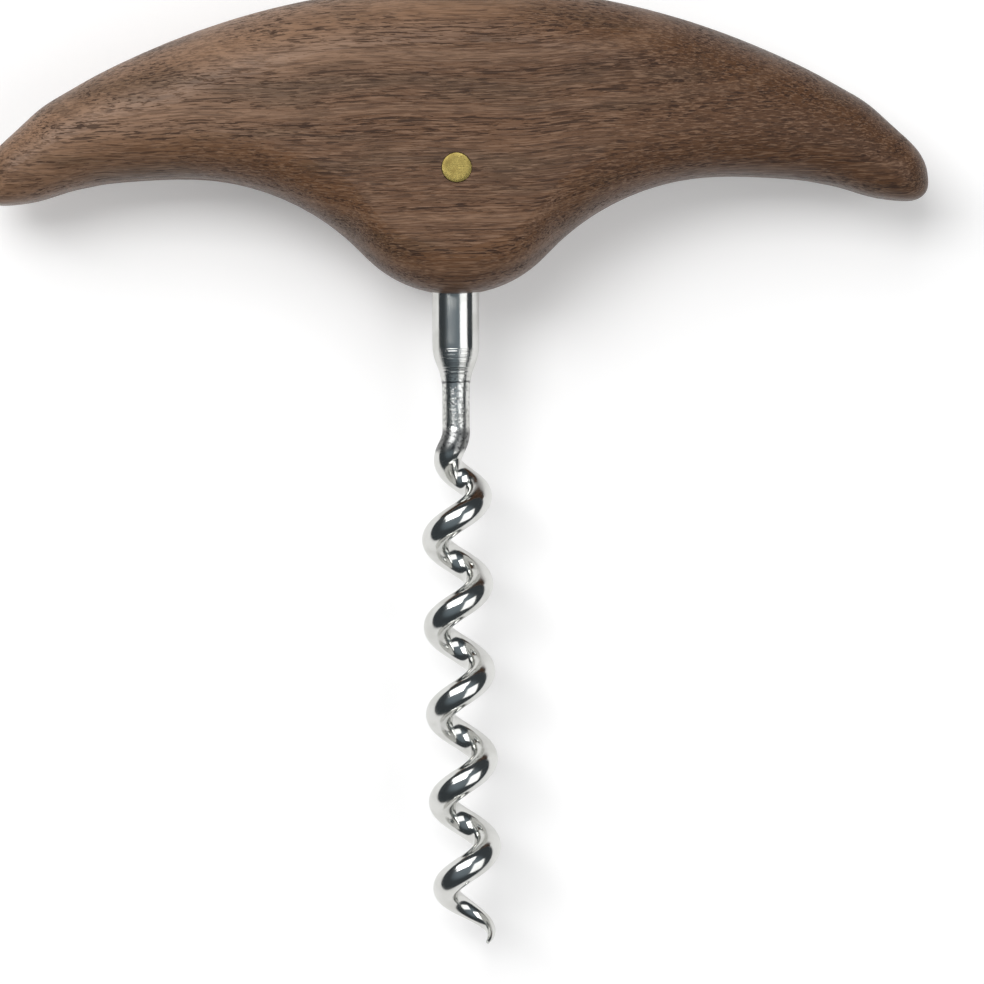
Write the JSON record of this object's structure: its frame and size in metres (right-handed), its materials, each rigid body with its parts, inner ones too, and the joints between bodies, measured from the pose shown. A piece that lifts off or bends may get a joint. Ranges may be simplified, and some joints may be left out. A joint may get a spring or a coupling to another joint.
{
  "type": "corkscrew",
  "caption": "T-shaped pull corkscrew: a crescent wooden handle, a turned steel shank that runs on into a helical worm, and a brass cross pin that locks the shank in the handle.",
  "frame": {"origin": "middle of the handle's planed back, halfway between the horns and halfway between crown and nose", "axes": "+X along the handle towards the right horn as seen from the front, -Y along the screw towards its point, +Z out of the front of the handle; the part lies on its back on Z = 0"},
  "size_m": [0.126, 0.1275, 0.023],
  "materials": {
    "walnut": "oiled satin, grain along the handle",
    "steel": "bright polished",
    "brass": "sanded flush with the wood"
  },
  "bodies": {
    "root": {"handle": "walnut", "screw": "steel", "cross_pin": "brass"}
  },
  "joints": []
}
